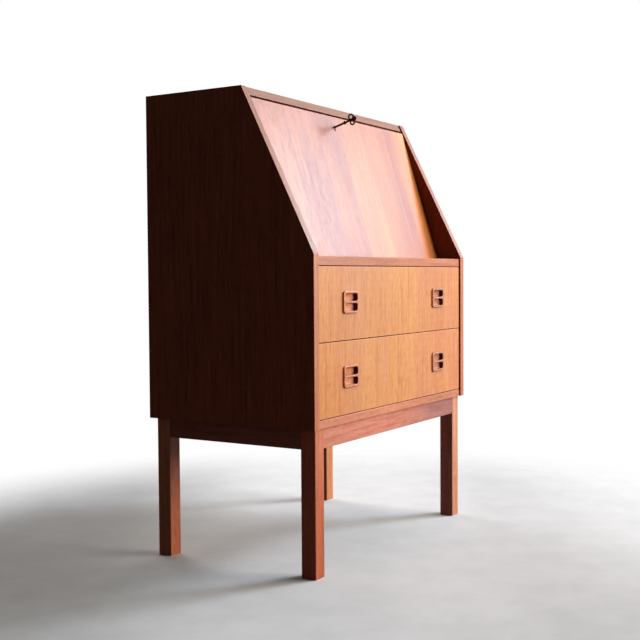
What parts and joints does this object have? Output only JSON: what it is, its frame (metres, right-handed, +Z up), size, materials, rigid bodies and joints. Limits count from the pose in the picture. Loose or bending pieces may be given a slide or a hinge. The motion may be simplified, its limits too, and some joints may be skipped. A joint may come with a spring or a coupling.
{
  "type": "secretary desk",
  "caption": "Veneered secretary desk with a sloping drop front that opens into a writing surface, full-width drawers with inset pulls, and a square-legged base.",
  "frame": {"origin": "on the floor under the middle of the case", "axes": "+Z up, front towards -Y, +X to the right of a person facing the front"},
  "size_m": [0.76, 0.444, 1.048],
  "materials": {
    "teak_case": "teak veneer, satin lacquer, grain upright",
    "teak_front": "teak veneer in upright leaves, satin lacquer",
    "teak_solid": "solid teak, oiled",
    "teak_pull": "solid teak, routed and rounded",
    "teak_inside": "teak veneer, satin",
    "beech": "pale beech, bare",
    "plywood": "thin plywood, stained",
    "brass": "aged brass",
    "steel": "plain steel",
    "key_iron": "dark blackened iron"
  },
  "bodies": {
    "case": {"side_panel_left": "teak_case", "side_panel_right": "teak_case", "top_panel": "teak_case", "desk_board": "teak_case", "bottom_panel": "teak_case", "back_panel": "plywood", "flap_stop_rail": "beech", "strike_plate": "brass", "writing_bed": "teak_inside", "interior_shelf": "teak_inside", "interior_divider_left": "teak_inside", "interior_divider_right": "teak_inside", "upper_runner_left": "beech", "upper_runner_right": "beech", "lower_runner_left": "beech", "lower_runner_right": "beech", "pivot_bush_left": "brass", "pivot_bush_right": "brass", "leg_front_left": "teak_solid", "leg_front_right": "teak_solid", "leg_rear_left": "teak_solid", "leg_rear_right": "teak_solid", "apron_front": "teak_solid", "apron_rear": "teak_solid", "apron_left": "teak_solid", "apron_right": "teak_solid", "base_cleat_left": "beech", "base_cleat_right": "beech"},
    "flap": {"flap_panel": "teak_front", "flap_pivot_left": "brass", "flap_pivot_right": "brass", "lock_case": "brass"},
    "lock_bolt": {"lock_bolt": "steel"},
    "key": {"key": "key_iron"},
    "upper_drawer": {"upper_drawer_front": "teak_front", "upper_drawer_side_left": "beech", "upper_drawer_side_right": "beech", "upper_drawer_back": "beech", "upper_drawer_bottom": "beech", "upper_pull_left": "teak_pull", "upper_pull_right": "teak_pull"},
    "lower_drawer": {"lower_drawer_front": "teak_front", "lower_drawer_side_left": "beech", "lower_drawer_side_right": "beech", "lower_drawer_back": "beech", "lower_drawer_bottom": "beech", "lower_pull_left": "teak_pull", "lower_pull_right": "teak_pull"},
    "letter_drawer_left": {"letter_drawer_left_front": "teak_inside", "letter_drawer_left_side_left": "beech", "letter_drawer_left_side_right": "beech", "letter_drawer_left_back": "beech", "letter_drawer_left_bottom": "beech"},
    "letter_drawer_right": {"letter_drawer_right_front": "teak_inside", "letter_drawer_right_side_left": "beech", "letter_drawer_right_side_right": "beech", "letter_drawer_right_back": "beech", "letter_drawer_right_bottom": "beech"}
  },
  "joints": [
    {"name": "flap_hinge", "type": "hinge", "parent": "case", "child": "flap", "pos_m": [0, -0.14239, 0.6923], "axis": [1, 0, 0], "range_deg": [0, 107.03]},
    {"name": "upper_drawer_slide", "type": "slide", "parent": "case", "child": "upper_drawer", "axis": [0, -1, 0], "range_m": [0, 0.3]},
    {"name": "lower_drawer_slide", "type": "slide", "parent": "case", "child": "lower_drawer", "axis": [0, -1, 0], "range_m": [0, 0.3]},
    {"name": "letter_drawer_left_slide", "type": "slide", "parent": "case", "child": "letter_drawer_left", "axis": [0, -1, 0], "range_m": [0, 0.1]},
    {"name": "letter_drawer_right_slide", "type": "slide", "parent": "case", "child": "letter_drawer_right", "axis": [0, -1, 0], "range_m": [0, 0.1]},
    {"name": "key_turn", "type": "hinge", "parent": "flap", "child": "key", "pos_m": [-0.017, -0.04958, 0.9953], "axis": [0, 0.9562, -0.2929], "range_deg": [0, 360]},
    {"name": "bolt_slide", "type": "slide", "parent": "flap", "child": "lock_bolt", "axis": [0, 0.2929, 0.9562], "range_m": [0, 0.013]}
  ],
  "couplings": [
    {"joint": "key_turn", "follows": "bolt_slide", "rad_per_m": 483.32}
  ]
}
